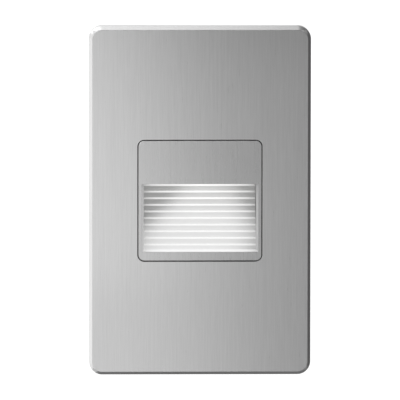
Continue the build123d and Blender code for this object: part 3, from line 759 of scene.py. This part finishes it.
# %% Pieces of the lamp and of the supply board
everyday("fibre_washer", (0.24, 0.05, 0.03), (0.34, 0.09, 0.05), (0.7, 0.9), (0.5, 0.1, 0.15), 0.02)
everyday("insulator_white", (0.70, 0.70, 0.68), (0.80, 0.80, 0.78), (0.4, 0.55), 0.2, 0.01)
everyday("lamp_board_white", (0.76, 0.76, 0.75), (0.86, 0.86, 0.85), (0.35, 0.5), 0.3, 0.005)
everyday("lamp_phosphor", (0.80, 0.62, 0.12), (0.90, 0.74, 0.22), (0.4, 0.6), 0.08, 0.01, wander_mm=0.6)
everyday("pad_grey", (0.30, 0.31, 0.33), (0.40, 0.41, 0.43), (0.7, 0.9), 0.3, 0.02)
everyday("header_black", (0.012, 0.012, 0.012), (0.03, 0.03, 0.03), (0.35, 0.5), 0.15, 0.01)
everyday("winding_tape", (0.62, 0.46, 0.06), (0.80, 0.62, 0.12), (0.3, 0.45), (2.0, 2.0, 0.3), 0.02)
everyday("ferrite", (0.035, 0.035, 0.038), (0.075, 0.075, 0.08), (0.45, 0.7), 0.12, 0.02)
everyday("capacitor_sleeve", (0.02, 0.03, 0.07), (0.04, 0.05, 0.11), (0.25, 0.38), 0.4, 0.005)
everyday("film_box", (0.44, 0.30, 0.05), (0.58, 0.42, 0.09), (0.35, 0.5), 0.2, 0.01)
everyday("varistor_blue", (0.03, 0.10, 0.34), (0.06, 0.16, 0.46), (0.3, 0.5), 0.6, 0.05)
everyday("fuse_body", (0.30, 0.20, 0.10), (0.44, 0.32, 0.18), (0.35, 0.5), 0.2, 0.01)
everyday("chip_black", (0.016, 0.016, 0.017), (0.032, 0.032, 0.034), (0.5, 0.65), 0.08, 0.008)
everyday("terminal_grey", (0.36, 0.37, 0.38), (0.46, 0.47, 0.48), (0.4, 0.55), 0.2, 0.01)
print(len(finishes), "finishes with the boards and what they carry")

# %% [markdown]
# ## Galvanised sheet and circuit board
# Hot zinc freezes in spangles, flat crystals a few millimetres wide that each shine their own way.
# Noise alone would make clouds, so cells with a random shade each make the spangles. The circuit board
# is green lacquer over copper tracks, and a second set of cells, cut square, gives the tracks' blocky
# outlines.

# %% Spangles
material, tree, shader = new_finish("galvanised_steel_finish")
spangle_mm, frost_mm, frost_depth = 4.0, 0.3, 0.004
shade = put(tree, "SeparateColor", Color=cells(tree, spangle_mm)["Color"]).outputs[0]
feed(tree, shader, Base_Color=between(tree, shade, (0.46, 0.47, 0.48), (0.66, 0.67, 0.69)), Metallic=1.0,
     Roughness=span(tree, shade, 0.28, 0.48),
     Normal=relief(tree, noise(tree, frost_mm, 3.0), frost_depth, relief_strength))
finishes["galvanised_steel"] = material
print("spangles of", spangle_mm, "mm")

# %% Tracks
material, tree, shader = new_finish("board_green_finish")
track_mm, track_edge, track_depth, lacquer_mm = 3.0, 0.42, 0.03, 0.3
track = calc(tree, "GREATER_THAN", cells(tree, track_mm, "CHEBYCHEV")["Distance"], track_edge)
feed(tree, shader, Base_Color=between(tree, track, (0.01, 0.10, 0.035), (0.03, 0.20, 0.06)),
     Roughness=span(tree, noise(tree, lacquer_mm, 3.0), 0.25, 0.4, *noise_range),
     Normal=relief(tree, track, track_depth, 0.5))
finishes["board_green"] = material
print("tracks round blocks of", track_mm, "mm")

# %% [markdown]
# ## Dressing the pieces
# Each node and each new piece has one material slot. Materials could be assigned one by one in the
# Material tab, but a piece would soon be forgotten, so every slot is filled by its name with the
# finish that was made for it.

# %% Dress every piece
for name, piece in {**nodes, **pieces}.items():
    piece.material_slots[0].material = finishes[slot_of[name]]
print(len(finishes), "finishes on", len(nodes) + len(pieces), "pieces")

# %% [markdown]
# ## Camera
# The photograph was taken from a couple of metres away with a long lens, a little from above and a
# touch from the left, which shows in the widths of the four bevels. A near camera with a wide lens
# would frame the light too, but the plate's upright edges would then lean together. The camera is
# rolled by a hair, as the photograph is.

# %% Long lens
scene.view_settings.view_transform = "Standard"
camera = bpy.data.objects.new("camera", bpy.data.cameras.new("camera"))
scene.collection.objects.link(camera)
scene.camera = camera
distance, frame_width, aim_height = 2.5, 0.1374, 0.00028
azimuth, elevation, roll = radians(-1.6), radians(5.4), radians(0.07)
towards_camera = Vector((sin(azimuth) * cos(elevation), -cos(azimuth) * cos(elevation), sin(elevation)))
camera.location = Vector((0, front * mm, aim_height)) + towards_camera * distance
level_camera = towards_camera.to_track_quat("Z", "Y")
camera.rotation_euler = (level_camera @ Quaternion((0, 0, 1), roll)).to_euler()
camera.data.sensor_width = 36
camera.data.lens = camera.data.sensor_width * distance / frame_width
camera.data.clip_end = 20
print("a lens of", round(camera.data.lens), "mm frames", frame_width, "m from", distance, "m away")

# %% [markdown]
# ## Studio
# The world and the floor are white wherever the camera or a reflection sees them, and dimmer as a
# source of light, so white paint doesn't burn out. Soft boxes at the left and above light the bevels
# there. Brushed metal looks like what it reflects, so the rest is done with cards that only
# reflections see, as in product photography. Three cards in front, nearly white at the lower left and
# grey at the right, draw the slow fall of tone across the plate. Dark ones at the right, below and
# above darken the bevels that look there. One behind tones the plate's top wall, so that it stands off
# the white, and a bright one beyond the upper left makes that corner gleam.


# %% White surroundings
def white_when_seen(tree):
    """1 for camera, glossy and transmission rays, and 0 for the rays that carry light."""
    path = put(tree, "LightPath").outputs
    seen = calc(tree, "MAXIMUM", path["Is Camera Ray"], path["Is Glossy Ray"])
    return calc(tree, "MAXIMUM", seen, path["Is Transmission Ray"])


white, world_light = (1, 1, 1, 1), 0.40
scene.world = bpy.data.worlds.new("studio")
scene.world.use_nodes = True
tree = scene.world.node_tree
dim = tree.nodes["Background"]
feed(tree, dim, Color=white, Strength=world_light)
seen = put(tree, "Background", Color=white, Strength=1.0)
mixed = put(tree, "MixShader", _0=white_when_seen(tree), _1=dim.outputs[0], _2=seen.outputs[0])
tree.links.new(mixed.outputs[0], tree.nodes["World Output"].inputs[0])
print("the world is white where it is seen, and a light of", world_light)


# %% Floor
def stage_sheet(name, corners):
    """Flat sheet of the studio, which is no part of the light."""
    mesh = bpy.data.meshes.new(name)
    mesh.from_pydata(corners, [], [tuple(range(len(corners)))])
    surface = bpy.data.objects.new(name, mesh)
    scene.collection.objects.link(surface)
    material, tree, shader = new_finish(name)
    mesh.materials.append(material)
    return surface, tree, shader


def lying(x_range, y_range, height):
    """Corners of a sheet that lies flat."""
    (left, right), (near, far) = x_range, y_range
    return [(left, near, height), (right, near, height), (right, far, height), (left, far, height)]


floor_height, floor_range, floor_glow = -0.26, (-6.0, 6.0), 0.75
_, tree, shader = stage_sheet("floor", lying(floor_range, floor_range, floor_height))
feed(tree, shader, Base_Color=(0.8, 0.8, 0.8, 1), Roughness=0.9, Emission_Color=white,
     Emission_Strength=span(tree, white_when_seen(tree), 0.0, floor_glow))
print("the floor lies", -floor_height, "m below the middle of the light")


# %% Cards in front
def flag(name, corners, level):
    """Card of a given brightness that only reflections see."""
    card, tree, shader = stage_sheet(name, corners)
    feed(tree, shader, Base_Color=(0, 0, 0, 1), Specular_IOR_Level=0.0, Emission_Color=(*grey(level), 1),
         Emission_Strength=1.0)
    card.visible_camera = card.visible_diffuse = card.visible_shadow = card.visible_transmission = False
    print(name, "at", level)


def leaning(edge, ahead=-0.15, lean=0.1):
    """Corners of a card in front that leans away to the right: y = ahead + lean * x."""
    return [(x, ahead + lean * x, z) for x, z in edge]


card_side, card_foot, card_top, left_top, seam = 0.32, -0.6, 0.25, -0.045, 0.04
seam_left, seam_right = (-0.0167, seam), (card_side, seam)
lower_edge = [(0.080, card_foot), (card_side, card_foot), seam_right, seam_left, (0.0, -0.014)]
upper_edge = [seam_left, seam_right, (card_side, card_top), (-0.082, card_top)]
left_edge = [(-card_side, card_foot), (0.06, card_foot), (-0.01, left_top), (-card_side, left_top)]
flag("flag_front", leaning(lower_edge), 0.35)
flag("flag_front_top", leaning(upper_edge), 0.28)
flag("flag_front_left", leaning(left_edge), 0.945)

# %% Cards around
card_depth = (-0.20, 0.30)
right_edge = [(-0.12, card_foot), (0.30, card_foot), (0.30, -card_foot), (-0.12, -card_foot)]
flag("flag_right", [(card_side, y, z) for y, z in right_edge], 0.11)
flag("flag_below", lying((-0.115, 0.40), card_depth, -0.22), 0.20)
flag("flag_above", lying((0.05, 0.40), card_depth, 0.28), 0.20)
flag("flag_behind", [(-0.5, 0.45, 0.04), (0.5, 0.45, 0.04), (0.5, 0.45, 0.30), (-0.5, 0.45, 0.30)], 0.92)
corner_card = [(-0.68, -0.15, 0.38), (-0.42, -0.15, 0.62), (-0.42, 0.25, 0.62), (-0.68, 0.25, 0.38)]
flag("flag_corner", corner_card, 2.4)


# %% Soft boxes
def soft_box(name, place, size, level):
    """Area lamp aimed at the light; its power is about 4 times its area times level, its radiance."""
    data = bpy.data.lights.new(name, "AREA")
    data.shape = "RECTANGLE"
    data.size, data.size_y = size
    data.energy = 4 * size[0] * size[1] * level
    lamp = bpy.data.objects.new(name, data)
    scene.collection.objects.link(lamp)
    lamp.location = place
    lamp.rotation_euler = Vector(place).to_track_quat("Z", "Y").to_euler()
    print(name, "of", round(data.energy, 3), "watts")


soft_box("left_box", (-0.45, 0.05, 0.12), (0.4, 0.7), 0.19)
soft_box("top_box", (-0.30, 0.02, 0.55), (0.5, 0.5), 0.65)
